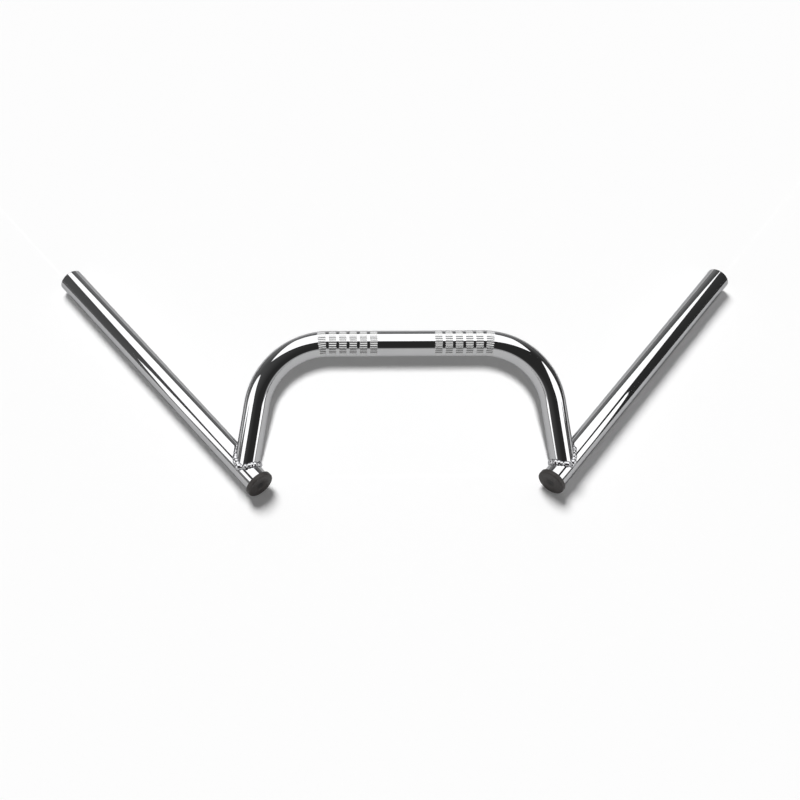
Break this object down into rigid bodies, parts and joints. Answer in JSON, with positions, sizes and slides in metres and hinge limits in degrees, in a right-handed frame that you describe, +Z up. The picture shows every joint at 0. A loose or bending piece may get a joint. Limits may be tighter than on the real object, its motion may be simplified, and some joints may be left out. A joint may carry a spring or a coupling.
{
  "type": "motorcycle handlebar",
  "caption": "M-shaped motorcycle handlebar: bent steel clamp tube with knurled clamp bands, straight swept-back grip tubes welded to its legs, and plastic plugs in their inner ends.",
  "frame": {"origin": "middle of the straight clamp section, on the tube's axis", "axes": "+X along the clamp to the right, +Y back to the open ends of the grips, +Z up, square to the plane of the two grips"},
  "size_m": [0.638, 0.248, 0.1026],
  "materials": {
    "chrome_tube": "polished chrome plate on steel tube",
    "chrome_weld": "chrome plate over a rippled weld",
    "plug_plastic": "satin black moulded plastic"
  },
  "bodies": {
    "root": {"centre_bar": "chrome_tube", "left_grip_tube": "chrome_tube", "right_grip_tube": "chrome_tube", "left_weld_bead": "chrome_weld", "right_weld_bead": "chrome_weld", "left_end_plug": "plug_plastic", "right_end_plug": "plug_plastic"}
  },
  "joints": []
}
